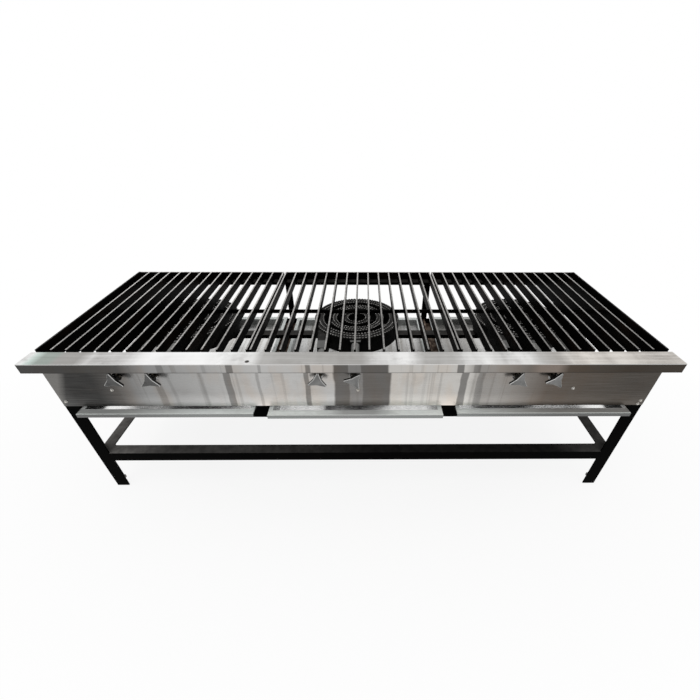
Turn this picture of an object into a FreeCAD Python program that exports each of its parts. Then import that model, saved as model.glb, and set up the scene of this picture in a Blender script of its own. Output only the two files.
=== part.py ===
"""Three-burner stock pot range: angle iron stand, stainless front, bar grates, cast burners and drip trays.

Millimetres. +Z is up, the front faces -Y, and the origin is on the floor under the middle of the range.
"""
import math
import os

import FreeCAD
import Part

# Overall size.
overall_w = 1800.0
overall_d = 660.0
overall_h = 600.0

# Angle iron stand.
leg_flange = 42.0
rail_flange = 38.0
top_rail_drop = 25.4
stretcher_drop = 38.0
angle_t = 4.0
leg_floor_gap = 6.0
stretcher_top = 184.0

# Grates.
grate_count = 3
bars_per_grate = 15
bar_t = 4.8
bar_h = 30.0
grate_gap = 6.4
grate_front_gap = 13.0
cross_bar_h = 12.0
cross_bar_t = 6.0
cross_bar_from_rear = 309.0

# Stainless front.
ledge_d = 60.0
ledge_sheet = 1.5
lip_h = 29.0
lip_return = 12.0
panel_setback = 53.0
panel_sheet = 1.2
panel_drop = 195.0
panel_top_flange = 20.0
panel_hem = 8.0
panel_flange_end_gap = 4.5
hem_notch_h = 5.0

# Bays, one for each burner.
bay_count = 3
bay_margin = 22.5
outer_valve_offset = -108.0
inner_valve_offset = -2.0
valve_drop = 81.0

# Drip trays and their rails.
tray_spacing = 45.0
tray_sheet = 1.0
tray_depth = 30.0
tray_rim_drop = 206.0
tray_rim_side = 12.0
tray_rim_front = 23.0
tray_rim_rear = 20.0
tray_lip_h = 13.0
tray_hem = 6.0
tray_reach = 26.0
tray_rear_gap = 4.0
# How far each tray stands pulled out, left to right.
tray_pulls = (0.0, 7.0, 0.0)
tray_rail_web = 25.0
tray_rail_reach = 46.0
tray_rail_t = 4.0
side_rail_reach = 62.0
side_rail_end_gap = 6.0
hanger_t = 4.0
hanger_gap = 1.5
hanger_drop = 248.0
rear_strap_w = 25.0

# Burners.
burner_y = 50.0
burner_r = 151.0
burner_top_drop = 61.0
burner_h = 57.0
ring_w = 34.0
mid_ring_out = 98.0
mid_ring_w = 27.0
inner_ring_out = 50.0
inner_ring_w = 20.0
inner_top_drop = 2.0
web_w = 9.0
web_h = 26.0
web_count = 3
lug_rise = 9.0
tube_r = 14.5
tube_bore_r = 11.0
tube_bore_len = 60.0
tube_mouth_from_panel = 87.0
outer_neck_len = 92.0
inner_neck_len = 12.0
neck_front_w = 32.0
neck_ring_w = 44.0
neck_h = 33.0
duct_w = 26.0
duct_h = 24.0
lug_w = 26.0
lug_d = 34.0
burner_rail_w = 34.0
burner_rail_h = 15.0
burner_rail_t = 3.0
burner_rail_drop = 125.0

# Valves, handles and gas pipe.
panel_hole_r = 13.5
valve_flats = 22.0
bonnet_flats = 16.0
bonnet_len = 8.0
valve_front_gap = 14.0
valve_len = 38.0
saddle_w = 20.0
saddle_d = 24.0
saddle_rise = 8.0
stem_r = 4.0
stem_seat = 12.0
tang_side = 5.4
fit_gap = 0.05
handle_reach = 27.0
handle_t = 8.0
handle_tip_r = 30.0
handle_waist_r = 13.0
handle_tip_half = 2.0
handle_points = 3
handle_bevel = 1.5
handle_hub_flats = 19.0
handle_hub_gap = 4.0
handle_face_wall = 3.0
handle_hub_sink = 1.0
tang_sink = 2.0
# The way one tip of each handle points with its valve shut, in degrees up from +X, left to right.
handle_turns = (89.0, 91.0, 84.0, 56.0, 82.0, 72.0)
spud_flats = 12.0
spud_len = 8.0
spud_tip_flats = 7.0
spud_tip_len = 6.0
pipe_r = 13.35
pipe_wall = 2.9
pipe_y_from_panel = 63.0
pipe_below_valve = 27.0
inlet_side_gap = 4.0
inlet_thread_r = 13.0
inlet_thread_len = 25.0
plug_flats = 30.0
plug_head = 10.0
plug_shank = 16.0
bracket_w = 22.0
bracket_t = 3.0
bracket_tab_h = 20.0
# How far each bracket stands from the middle of its bay, left to right.
bracket_offsets = (-142.0, 8.0, 73.0)

# Levelling feet.
foot_r = 6.0
foot_len = 48.0
foot_head_flats = 20.0
foot_head_h = 5.5
nut_side = 22.0
nut_h = 12.0
nut_z = 24.0

# How far a cutting shape passes the face that it opens.
cut_over = 1.0

# Positions that follow from the sizes above.
x_out = overall_w / 2.0
y_lip = -overall_d / 2.0
y_rear = overall_d / 2.0
z_top = overall_h
z_rail = z_top - bar_h
y_panel = y_lip + panel_setback
y_frame = y_panel + panel_sheet
y_behind = y_frame + angle_t
x_leg = x_out - leg_flange
bay_pitch = (overall_w - 2.0 * bay_margin) / bay_count
tray_w = bay_pitch - tray_spacing
z_panel = z_top - panel_drop
z_rim = z_top - tray_rim_drop
z_tray_floor = z_rim - tray_depth
y_tray = y_panel - tray_reach
y_tray_rear = y_rear - tray_rear_gap
z_hanger = z_top - hanger_drop
z_hanger_top = z_rail - angle_t
x_divider = bay_pitch / 2.0
hanger_w = tray_spacing - 2.0 * hanger_gap
hanger_foot_w = hanger_w + 2.0 * tray_rim_side
z_hanger_foot = z_rim - tray_hem - hanger_gap
z_hanger_base = z_tray_floor - hanger_gap
z_burner = z_top - burner_top_drop
z_burner_base = z_burner - burner_h
z_burner_rail = z_top - burner_rail_drop
z_valve = z_top - valve_drop
y_mouth = y_panel + tube_mouth_from_panel
y_pipe = y_panel + pipe_y_from_panel
z_pipe = z_valve - pipe_below_valve
y_valve = y_frame + valve_front_gap

X = FreeCAD.Vector(1, 0, 0)
Y = FreeCAD.Vector(0, 1, 0)
Z = FreeCAD.Vector(0, 0, 1)


def vec(x, y, z):
    return FreeCAD.Vector(x, y, z)


def box(x0, x1, y0, y1, z0, z1):
    low = vec(min(x0, x1), min(y0, y1), min(z0, z1))
    return Part.makeBox(abs(x1 - x0), abs(y1 - y0), abs(z1 - z0), low)


def rod(radius, base, direction, length):
    return Part.makeCylinder(radius, length, base, direction)


def hexagon(flats, base, direction, length):
    """A hexagonal prism with the given width across its flats."""
    sides = 6
    reach = flats / math.sqrt(3.0)
    side = Y if direction == X else X
    other = direction.cross(side)
    corners = []
    for step in range(sides + 1):
        turn = 2.0 * math.pi * step / sides
        corners.append(base + side * (reach * math.cos(turn)) + other * (reach * math.sin(turn)))
    return Part.Face(Part.makePolygon(corners)).extrude(direction * length)


def angle_bar(corner, u, v, along, u_size, v_size, t):
    """An angle section with its outer corner at corner and its flanges along u and v."""
    outline = ((0, 0), (u_size, 0), (u_size, t), (t, t), (t, v_size), (0, v_size), (0, 0))
    corners = [corner + u * a + v * b for a, b in outline]
    return Part.Face(Part.makePolygon(corners)).extrude(along)


def folded(path, t, x0, x1):
    """Sheet metal folded along a path of (y, z) points on its middle line, running from x0 to x1."""
    normals = []
    for start, end in zip(path, path[1:]):
        size = math.hypot(end[0] - start[0], end[1] - start[1])
        normals.append(((start[1] - end[1]) / size, (end[0] - start[0]) / size))
    normals = [normals[0]] + normals + [normals[-1]]
    near = []
    far = []
    for (y, z), before, after in zip(path, normals, normals[1:]):
        mitre = (t / 2.0) / (1.0 + before[0] * after[0] + before[1] * after[1])
        dy = (before[0] + after[0]) * mitre
        dz = (before[1] + after[1]) * mitre
        near.append(vec(x0, y + dy, z + dz))
        far.append(vec(x0, y - dy, z - dz))
    outline = near + far[::-1] + near[:1]
    return Part.Face(Part.makePolygon(outline)).extrude(X * (x1 - x0))


def save(name, shape):
    shape.exportStep("parts/" + name + ".step")


def save_group(name, shapes):
    save(name, Part.makeCompound(shapes))


both_sides = (-1.0, 1.0)


def named_sides():
    return zip(("left", "right"), both_sides)


def bay_x(index):
    return (index - (bay_count - 1) / 2.0) * bay_pitch


bay_names = ("left", "center", "right")


def valve_places():
    """The x position of each valve, from left to right."""
    places = []
    for index in range(bay_count):
        places.append(bay_x(index) + outer_valve_offset)
        places.append(bay_x(index) + inner_valve_offset)
    return places


def make_legs():
    height = z_rail - leg_floor_gap
    for name, side in named_sides():
        front = angle_bar(vec(side * x_out, y_frame, leg_floor_gap), X * -side, Y, Z * height,
                          leg_flange, leg_flange, angle_t)
        save("leg_front_" + name, front)
        rear = angle_bar(vec(side * x_out, y_rear, leg_floor_gap), X * -side, Y * -1, Z * height,
                         leg_flange, leg_flange, angle_t)
        save("leg_rear_" + name, rear)


def frame_ring(z, drop, front_name, rear_name, side_name):
    """Four angles between the legs, with their level flange on top and that of the sides let into the legs."""
    run = X * (2.0 * x_leg)
    down = Z * -1
    front = angle_bar(vec(-x_leg, y_frame, z), Y, down, run, rail_flange, drop, angle_t)
    rear = angle_bar(vec(-x_leg, y_rear, z), Y * -1, down, run, rail_flange, drop, angle_t)
    save(front_name, front)
    save(rear_name, rear)
    y0 = y_frame + leg_flange
    depth = Y * (y_rear - leg_flange - y0)
    for name, side in named_sides():
        rail = angle_bar(vec(side * x_out, y0, z), X * -side, down, depth, rail_flange, drop, angle_t)
        tabs = []
        for y, way in ((y_frame, 1.0), (y_rear, -1.0)):
            tabs.append(box(side * x_leg, side * (x_out - angle_t), y + way * angle_t, y + way * leg_flange,
                            z - angle_t, z))
        save(side_name + name, rail.fuse(tabs).removeSplitter())


def hanger(x, y, strap_w):
    """A strap down to the tray rails that widens below the rims of the trays, and again below the trays."""
    steps = ((strap_w, z_hanger_top),
             (hanger_foot_w, z_hanger_foot),
             (2.0 * tray_rail_reach, z_hanger_base))
    plates = []
    for width, top in steps:
        plates.append(box(x - width / 2, x + width / 2, y, y + hanger_t, z_hanger, top))
    return plates[0].fuse(plates[1:]).removeSplitter()


def make_hangers():
    places = [side * x_divider for side in both_sides]
    save_group("front_hangers", [hanger(x, y_behind, hanger_w) for x in places])
    save_group("rear_hangers", [hanger(x, y_rear - angle_t - hanger_t, rear_strap_w) for x in places])


def make_tray_rails():
    """Angles for the trays to slide on: two back to back under each gap between trays, and one at each end."""
    z = z_tray_floor - tray_rail_t
    y0 = y_behind + hanger_t
    run = Y * (y_rear - angle_t - hanger_t - y0)
    end0 = y_behind + side_rail_end_gap
    side_run = Y * (y_rear - angle_t - side_rail_end_gap - end0)
    for name, side in named_sides():
        for place, way in (("center_", -side), ("divider_", side)):
            rail = angle_bar(vec(side * x_divider, y0, z), X * way, Z, run,
                             tray_rail_reach, tray_rail_web, tray_rail_t)
            save("tray_rail_" + place + name, rail)
        rail = angle_bar(vec(side * (x_out - angle_t), end0, z), X * -side, Z, side_run,
                         side_rail_reach, tray_rail_web, tray_rail_t)
        save("tray_rail_side_" + name, rail)


def make_trays():
    half = tray_w / 2.0
    body = half - tray_rim_side
    y0 = y_tray + tray_rim_front
    y1 = y_tray_rear - tray_rim_rear
    t = tray_sheet
    shell = box(-body, body, y0, y1, z_tray_floor, z_rim)
    hollow = box(-body + t, body - t, y0 + t, y1 - t, z_tray_floor + t, z_rim + t)
    rim = box(-half, half, y_tray, y_tray_rear, z_rim - t, z_rim)
    lip = box(-half, half, y_tray, y_tray + t, z_rim - tray_lip_h, z_rim)
    hem_left = box(-half, -half + t, y_tray, y_tray_rear, z_rim - tray_hem, z_rim)
    hem_right = box(half - t, half, y_tray, y_tray_rear, z_rim - tray_hem, z_rim)
    hem_rear = box(-half, half, y_tray_rear - t, y_tray_rear, z_rim - tray_hem, z_rim)
    tray = shell.fuse([rim, lip, hem_left, hem_right, hem_rear]).cut(hollow).removeSplitter()
    for index in range(bay_count):
        one = tray.copy()
        one.translate(vec(bay_x(index), -tray_pulls[index], 0))
        save("drip_tray_" + bay_names[index], one)


def make_grates():
    width = (overall_w - (grate_count - 1) * grate_gap) / grate_count
    pitch = (width - bar_t) / (bars_per_grate - 1)
    y0 = y_lip + ledge_d + grate_front_gap
    y1 = y_rear
    x0 = -width / 2.0
    bars = []
    for index in range(bars_per_grate):
        left = x0 + index * pitch
        bars.append(box(left, left + bar_t, y0, y1, z_rail, z_top))
    rear = box(x0, x0 + width, y1 - bar_t, y1, z_rail, z_top)
    cross_y = y_rear - cross_bar_from_rear
    cross = box(x0, x0 + width, cross_y, cross_y + cross_bar_t, z_rail, z_rail + cross_bar_h)
    grate = rear.fuse(bars + [cross]).removeSplitter()
    for index in range(grate_count):
        one = grate.copy()
        one.translate(X * ((index - (grate_count - 1) / 2.0) * (width + grate_gap)))
        save("grate_" + bay_names[index], one)


def make_front():
    t = ledge_sheet
    low = z_top - lip_h + t / 2.0
    high = z_top - t / 2.0
    front = y_lip + t / 2.0
    rear = y_lip + ledge_d - t / 2.0
    path = ((front + lip_return, low), (front, low), (front, high), (rear, high), (rear, z_rail))
    ledge = folded(path, t, -x_out, x_out)
    for side in both_sides:
        end = box(side * (x_out - t), side * x_out, y_lip + t, y_panel - t, z_top - lip_h + t, z_top - t / 2.0)
        ledge = ledge.fuse(end)
    save("front_ledge", ledge.removeSplitter())

    s = panel_sheet
    mid = y_panel + s / 2.0
    under = z_top - t - s / 2.0
    low = z_panel + s / 2.0
    path = ((mid - panel_top_flange, under), (mid, under), (mid, low), (mid + panel_hem, low))
    panel = folded(path, s, -x_out, x_out)
    reach = y_frame + panel_hem + s
    wide = hanger_w / 2.0 + hanger_gap
    for side in both_sides:
        flange_end = side * (x_out - panel_flange_end_gap)
        panel = panel.cut(box(flange_end, side * x_out, y_lip, y_panel, z_panel, z_top))
        x = side * x_divider
        for x0, x1 in ((side * (x_leg - hanger_gap), side * x_out), (x - wide, x + wide)):
            panel = panel.cut(box(x0, x1, y_frame, reach, z_panel, z_panel + hem_notch_h))
    holes = []
    for x in valve_places():
        holes.append(rod(panel_hole_r, vec(x, y_panel - cut_over, z_valve), Y, s + 2.0 * cut_over))
    save("front_panel", panel.cut(holes))


def ring(out, width, top):
    base = vec(0, burner_y, z_burner_base)
    height = top - z_burner_base
    return rod(out, base, Z, height).cut(rod(out - width, base, Z, height))


def tube(x, y_end):
    """A venturi, open at its mouth in front."""
    mouth = vec(x, y_mouth, z_valve)
    return rod(tube_r, mouth, Y, y_end - y_mouth).cut(rod(tube_bore_r, mouth, Y, tube_bore_len))


def duct(x, y0, y1, w0, w1, height):
    """A flat-sided gas way cast between y0 and y1, with its width going from w0 to w1."""
    low = z_valve - height / 2.0
    near = (vec(x - w0 / 2, y0, low), vec(x + w0 / 2, y0, low))
    far = (vec(x + w1 / 2, y1, low), vec(x - w1 / 2, y1, low))
    return Part.Face(Part.makePolygon(near + far + near[:1])).extrude(Z * height)


def make_burners():
    base = z_burner_base
    inner_top = z_burner - inner_top_drop
    rings = [ring(burner_r, ring_w, z_burner),
             ring(mid_ring_out, mid_ring_w, inner_top),
             ring(inner_ring_out, inner_ring_w, inner_top)]
    outer_mid = burner_r - ring_w / 2.0
    ways = []
    for x, neck_len in ((outer_valve_offset, outer_neck_len), (inner_valve_offset, inner_neck_len)):
        neck_y = burner_y - math.sqrt(burner_r ** 2 - x ** 2) - neck_len
        ring_y = burner_y - math.sqrt(outer_mid ** 2 - x ** 2)
        ways.append(tube(x, neck_y))
        ways.append(duct(x, neck_y, ring_y, neck_front_w, neck_ring_w, neck_h))
    inner_end = burner_y - (inner_ring_out - inner_ring_w / 2.0)
    ways.append(duct(inner_valve_offset, burner_y - outer_mid, inner_end, duct_w, duct_w, duct_h))
    webs = []
    for step in range(1, web_count):
        arm = box(inner_ring_out - inner_ring_w / 2.0, outer_mid, -web_w / 2, web_w / 2, base, base + web_h)
        arm.rotate(vec(0, 0, 0), Z, 360.0 * step / web_count - 90.0)
        arm.translate(Y * burner_y)
        webs.append(arm)
    lugs = []
    for side in both_sides:
        x = side * outer_mid
        lugs.append(box(x - lug_w / 2, x + lug_w / 2, burner_y - lug_d / 2, burner_y + lug_d / 2,
                        z_burner_rail, base + lug_rise))
    iron = rings[0].fuse(rings[1:] + ways + webs + lugs).removeSplitter()
    burners = []
    for index in range(bay_count):
        one = iron.copy()
        one.translate(X * bay_x(index))
        burners.append(one)
    save_group("burners", burners)


def make_burner_rail():
    x1 = x_out - angle_t - hanger_t
    y0 = burner_y - burner_rail_w / 2.0
    y1 = burner_y + burner_rail_w / 2.0
    t = burner_rail_t
    low = z_burner_rail - burner_rail_h
    rail = box(-x1, x1, y0, y1, low, z_burner_rail)
    rail = rail.cut(box(-x1, x1, y0 + t, y1 - t, low, z_burner_rail - t))
    save("burner_rail", rail)
    ends = []
    for side in both_sides:
        ends.append(box(side * x1, side * (x_out - angle_t), y0, y1, low, z_hanger_top))
    save_group("burner_rail_hangers", ends)


def make_valves():
    bodies = []
    spuds = []
    saddle_y = y_pipe - saddle_d / 2.0
    back_y = saddle_y + saddle_d
    for x in valve_places():
        front = vec(x, y_valve, z_valve)
        body = hexagon(valve_flats, front, Y, valve_len)
        bonnet = hexagon(bonnet_flats, front - Y * bonnet_len, Y, bonnet_len)
        saddle = box(x - saddle_w / 2, x + saddle_w / 2, saddle_y, back_y, z_pipe, z_valve + saddle_rise)
        body = body.fuse([bonnet, saddle])
        body = body.cut(rod(pipe_r + fit_gap, vec(x - saddle_w, y_pipe, z_pipe), X, 2.0 * saddle_w))
        bonnet_end = front - Y * (bonnet_len + cut_over)
        body = body.cut(rod(stem_r + fit_gap, bonnet_end, Y, cut_over + bonnet_len + stem_seat + cut_over))
        bodies.append(body.removeSplitter())
        back = vec(x, back_y, z_valve)
        spud = hexagon(spud_flats, back, Y, spud_len)
        tip = hexagon(spud_tip_flats, back + Y * spud_len, Y, spud_tip_len)
        spuds.append(spud.fuse(tip).removeSplitter())
    save_group("gas_valves", bodies)
    save_group("orifice_spuds", spuds)


def handle_plate(turn, face):
    """The plate of a handle: three blunt tips, slightly hollow sides and a bevelled front edge."""
    step = 360.0 / handle_points
    spread = math.degrees(math.asin(handle_tip_half / handle_tip_r))
    corners = []
    for point in range(handle_points):
        tip = turn + step * point
        waist = tip + step / 2.0
        for r, turned in ((handle_tip_r, tip - spread), (handle_tip_r, tip + spread), (handle_waist_r, waist)):
            a = math.radians(turned)
            corners.append(vec(r * math.cos(a), face, r * math.sin(a)))
    outline = Part.Face(Part.makePolygon(corners + corners[:1]))
    plate = outline.extrude(Y * handle_t)
    front = [edge for edge in plate.Edges if edge.BoundBox.YMax < face + handle_bevel]
    return plate.makeChamfer(handle_bevel, front)


def make_handles():
    face = y_panel - handle_reach
    hub_end = y_panel - handle_hub_gap
    socket = face + handle_face_wall
    hub_start = face + handle_t - handle_hub_sink
    side = tang_side + 2.0 * fit_gap
    for index, x in enumerate(valve_places()):
        turn = handle_turns[index]
        hub = hexagon(handle_hub_flats, vec(0, hub_start, 0), Y, hub_end - hub_start)
        hub.rotate(vec(0, 0, 0), Y, -turn)
        hole = box(-side / 2, side / 2, socket - fit_gap, hub_end + cut_over, -side / 2, side / 2)
        hole.rotate(vec(0, 0, 0), Y, -turn)
        handle = handle_plate(turn, face).fuse(hub).cut(hole).removeSplitter()
        handle.translate(vec(x, 0, z_valve))
        save("valve_handle_%d" % (index + 1), handle)
        tang = box(-tang_side / 2, tang_side / 2, socket, hub_end + tang_sink, -tang_side / 2, tang_side / 2)
        tang.rotate(vec(0, 0, 0), Y, -turn)
        shaft = rod(stem_r, vec(0, hub_end + fit_gap, 0), Y, y_valve + stem_seat - hub_end - fit_gap)
        stem = tang.fuse(shaft).removeSplitter()
        stem.translate(vec(x, 0, z_valve))
        save("valve_stem_%d" % (index + 1), stem)


def make_manifold():
    right = x_out - inlet_side_gap
    left = plug_head - right
    start = vec(left, y_pipe, z_pipe)
    bore_r = pipe_r - pipe_wall
    pipe = rod(pipe_r, start, X, right - left - inlet_thread_len)
    pipe = pipe.fuse(rod(inlet_thread_r, start, X, right - left)).cut(rod(bore_r, start, X, right - left))
    save("gas_manifold", pipe.removeSplitter())
    plug = hexagon(plug_flats, start - X * plug_head, X, plug_head)
    shank = hexagon((bore_r - fit_gap) * math.sqrt(3.0), start, X, plug_shank)
    save("manifold_plug", plug.fuse(shank).removeSplitter())

    brackets = []
    t = bracket_t
    top = z_pipe - pipe_r - t / 2.0
    tab = y_frame + t / 2.0
    path = ((tab, top - bracket_tab_h), (tab, top), (y_pipe + pipe_r, top))
    for index, offset in enumerate(bracket_offsets):
        x = bay_x(index) + offset
        brackets.append(folded(path, t, x - bracket_w / 2, x + bracket_w / 2))
    save_group("manifold_brackets", brackets)


def make_feet():
    nuts = []
    half = nut_side / 2.0
    inset = angle_t + half
    for end, y_corner, way in (("front", y_frame, 1.0), ("rear", y_rear, -1.0)):
        for name, side in named_sides():
            x = side * (x_out - inset)
            y = y_corner + way * inset
            nut = box(x - half, x + half, y - half, y + half, nut_z, nut_z + nut_h)
            post = vec(x, y, 0)
            nuts.append(nut.cut(rod(foot_r + fit_gap, post, Z, foot_len)))
            head = hexagon(foot_head_flats, post, Z, foot_head_h)
            foot = head.fuse(rod(foot_r, post, Z, foot_len)).removeSplitter()
            save("levelling_foot_" + end + "_" + name, foot)
    save_group("foot_nuts", nuts)


os.makedirs("parts", exist_ok=True)
make_legs()
frame_ring(z_rail, top_rail_drop, "top_rail_front", "top_rail_rear", "top_rail_")
frame_ring(stretcher_top, stretcher_drop, "stretcher_front", "stretcher_rear", "stretcher_")
make_hangers()
make_tray_rails()
make_trays()
make_grates()
make_front()
make_burners()
make_burner_rail()
make_valves()
make_handles()
make_manifold()
make_feet()
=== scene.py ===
"""Looks of the three-burner stock pot range: materials, fine detail, light and camera.

Metres. +Z is up, the front faces -Y, and the origin is on the floor under the middle of the range.
"""
import math

import bmesh
import bpy
from mathutils import Matrix, Vector


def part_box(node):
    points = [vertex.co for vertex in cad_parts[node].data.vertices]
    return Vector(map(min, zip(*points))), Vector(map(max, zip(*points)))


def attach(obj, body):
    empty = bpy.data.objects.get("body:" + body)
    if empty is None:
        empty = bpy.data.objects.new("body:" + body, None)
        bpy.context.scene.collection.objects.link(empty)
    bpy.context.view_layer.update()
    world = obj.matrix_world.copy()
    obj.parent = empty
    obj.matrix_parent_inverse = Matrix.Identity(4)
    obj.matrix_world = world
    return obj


# Camera of the photograph: place, tilt and lens, with the image centre moved by the shift.
CAMERA_PLACE = Vector((0.0298, -1.1141, 1.1584))
CAMERA_PITCH_DOWN = math.radians(36.97)
CAMERA_YAW_RIGHT = math.radians(0.697)
CAMERA_ROLL = math.radians(0.331)
CAMERA_LENS_MM = 18.498
CAMERA_SENSOR_MM = 36.0
CAMERA_SHIFT_X = -0.02657
CAMERA_SHIFT_Y = 0.03414

# Studio light: an even white sky, and one large soft lamp.
SKY_STRENGTH = 0.55
KEY_WATTS = 42.0
KEY_SIZE = 3.2
KEY_PLACE = Vector((-0.5, -0.8, 3.4))
KEY_TARGET = Vector((0.0, 0.0, 0.4))

# Floor: its half width and drop, and the share of shadow it keeps, which fades out in an oval.
FLOOR_HALF = 9.0
FLOOR_CELLS = 4
FLOOR_GAP = 0.0004
FLOOR_SHADOW_SHARE = 0.13
FLOOR_FADE_START = 0.4
FLOOR_FADE_END = 1.2
FLOOR_SQUEEZE = 0.6

# How far a piece that is laid on a solid reaches into it.
SINK = 0.0004

# Where the values of the materials' noise mostly lie.
NOISE_SPAN = (0.3, 0.7)

# Burner tops: each ring's outer radius, inner radius, drop and number of ridges, which gas slots cross.
RINGS = ((0.151, 0.117, 0.0, 3), (0.098, 0.071, 0.002, 3), (0.050, 0.030, 0.002, 2))
RIDGE_W = 0.0056
RIDGE_H = 0.003
SLOT_PITCH = 0.0105
SLOT_SHARE = 0.32
SLOT_SLOPE = 0.06
SLOT_FLOOR = 0.0004

# Mixing tubes: how far their tops are under the rings, and how softly the painted highlights on the tops of
# tubes and necks start.
TUBE_TOP_DROP = 0.0055
TUBE_SOFT = 0.001
NECK_SOFT = 0.004

# Drip trays: the x of the dull stretch of each rim, how far it is full and where it ends, its tone, the
# shine of the floor, the painted shade tone of the dull stretch on the front lip, and how far borders
# wander.
TRAYS = (
    dict(tray="drip_tray_left", dull_x=-0.86, dull_near=0.12, dull_far=0.42,
         dull=(0.42, 0.43, 0.42, 1.0), shine=0.85, dull_lip_shade=0.05),
    dict(tray="drip_tray_center", dull_x=0.02, dull_near=0.04, dull_far=0.13,
         dull=(0.56, 0.57, 0.56, 1.0), shine=0.3, dull_lip_shade=0.2),
    dict(tray="drip_tray_right", dull_x=0.86, dull_near=0.26, dull_far=0.56,
         dull=(0.36, 0.35, 0.335, 1.0), shine=0.6, dull_lip_shade=0.045))
TRAY_CLEAN = (0.95, 1.0, 0.975, 1.0)
TRAY_WANDER = 0.03

# A stretch of the right tray's floor with a painted dark reflection: middle, half width and soft width, and
# its share.
TRAY_DARK_REFLECTION = (0.37, 0.07, 0.04)
TRAY_DARK_REFLECTION_SHARE = 0.75

# Depth of the tray floor under the rim, width of the painted highlight on the front bend, and how far the
# floor is polished with a painted bright reflection.
TRAY_FLOOR_DROP = 0.012
TRAY_BEND_HIGHLIGHT = 0.005
TRAY_POLISH_AND_REFLECTION_START = 0.11
TRAY_POLISH_AND_REFLECTION_END = 0.14

# Painted reflections of bright stretches of the room on the upright sheet: where each rises, slopes in tone
# and falls along x.
SHEET_LEFT_RISE = (-0.71, -0.63)
SHEET_LEFT_SLOPE = (-0.63, -0.28)
SHEET_LEFT_FALL = (-0.065, -0.059)
SHEET_RIGHT_RISE = (0.102, 0.108)
SHEET_RIGHT_SLOPE = (0.34, 0.375)
SHEET_RIGHT_FALL = (0.43, 0.58)

# Where the painted dark reflection on the sheet turns from grey to brown, where its ends darken, and how
# far borders wander.
SHEET_BROWN = (0.1, 0.4)
SHEET_ENDS = (0.55, 0.84)
SHEET_WANDER = 0.0025

# Painted reflections of the room's posts: middle, half width and share, and a paler one in the dark middle.
SHEET_POSTS = ((-0.584, 0.009, 0.5), (-0.545, 0.004, 0.25), (-0.451, 0.004, 0.25), (-0.374, 0.009, 0.75),
               (-0.285, 0.003, 0.4), (-0.141, 0.006, 0.75), (0.171, 0.004, 0.15), (0.207, 0.003, 0.15),
               (0.324, 0.009, 0.8), (0.373, 0.009, 0.5))
SHEET_POST_SOFT = 0.003
SHEET_PALE_POST = (0.002, 0.018)
SHEET_PALE_SHARE = 0.7
SHEET_WARM = (1.0, 0.94, 0.89, 1.0)

# The panel has a painted brighter reflection towards its bottom edge: height of that strip, and how much
# brighter it ends.
PANEL_LIFT_H = 0.05
PANEL_LIFT = 1.6

# Left end of the panel: a painted dark reflection as middle, half width and soft width, and its share.
PANEL_DARK = (-0.81, 0.035, 0.07)
PANEL_DARK_SHARE = 0.95

# A pale strip of painted reflection past it: where it starts and is full at the panel's bottom, and how it
# widens with height.
PANEL_PALE = (-0.893, -0.917)
PANEL_PALE_LEAN = 0.45

# Painted dark reflections on the ledge top: middle, half width and share, and its brightest stretch, a
# painted bright reflection.
LEDGE_DARK_REFLECTIONS = ((-0.8, 0.05, 0.9), (-0.115, 0.135, 0.74), (0.235, 0.04, 0.65), (0.54, 0.02, 0.55))
LEDGE_DARK_REFLECTION_SOFT = 0.035
LEDGE_BRIGHT_REFLECTION = (-0.485, 0.07)
LEDGE_BRIGHT_REFLECTION_SOFT = 0.11
LEDGE_BRIGHT_REFLECTION_SHARE = 0.7

# The ledge top is warmer towards its right end, and has a short cool stretch by its left end, a painted
# reflection of tinted light.
LEDGE_WARM = (1.0, 0.955, 0.9, 1.0)
LEDGE_WARM_REACH = (0.5, 0.62)
LEDGE_COOL = (0.85, 1.0, 0.945, 1.0)
LEDGE_COOL_REACH = (-0.845, 0.025, 0.02)

# A small bolt hole left in the top of the ledge, painted as a dark spot for the shade inside it, and the
# share of its radius that is fully dark.
LEDGE_HOLE_X = -0.289
LEDGE_HOLE_FROM_REAR = 0.046
LEDGE_HOLE_R = 0.0065
LEDGE_HOLE_CORE = 0.8

# The lip is painted with the room's reflections at a slightly smaller scale than the panel, with one more
# bright
# stretch of painted reflection: middle, half width and soft width.
LIP_STRETCH = 1.115
LIP_GLINT = (0.53, 0.025, 0.03)

# Heights of the painted highlight on the upper bend and the painted dark line of shade on the lower bend of
# the lip, and their share.
LIP_BEND_HIGHLIGHT = 0.003
LIP_EDGE_SHADE = 0.0045
LIP_PAINT_SHARE = 0.9

# Painted light and shade along the lower stretchers, as a change of their dust and sheen along x: reach,
# and its share at both ends of that.
STRETCHER_PAINTED_SHADES = (((-0.82, -0.65), (1.0, 0.4)), ((-0.4, 0.05), (1.0, 0.2)), ((0.7, 0.82), (1.0, 5.0)))

# Width at each end that takes in the last grate bar, and the share of the rubbing that shows there.
END_BAR = 0.012
END_BAR_SHARE = 0.1

# Painted sheen on the rubbed bar tops, brighter towards the left and the rear: reach along x and y, and the
# gain at both ends.
BAR_SHEEN_X = (-0.55, 0.1, 1.5, 1.0)
BAR_SHEEN_Y = (-0.15, 0.3, 0.9, 1.5)

# Depths under the top of a bar where the rubbing starts and is full.
BAR_RUB_START = 0.004
BAR_RUB_FULL = 0.001

# Handle faces at the left end are darker: where that fades along x, and the share of light that is left.
HANDLE_DARKER_LEFT = (-0.6, -0.1)
HANDLE_DARKER_LEFT_SHARE = 0.5

# Screws that hold the front panel, as (x, z).
SCREW_PLACES = ((-0.886, 0.424), (-0.727, 0.4695), (0.008, 0.4676), (0.658, 0.4737), (0.886, 0.424),
                (0.883, 0.4105))
PANEL_SHEET = 0.0012
WASHER_R = 0.0048
WASHER_H = 0.0011
WASHER_SIDES = 20
HEAD_R = 0.0038
HEAD_H = 0.003
HEAD_BEVEL = 0.0004
HEAD_SIDES = 6

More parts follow.
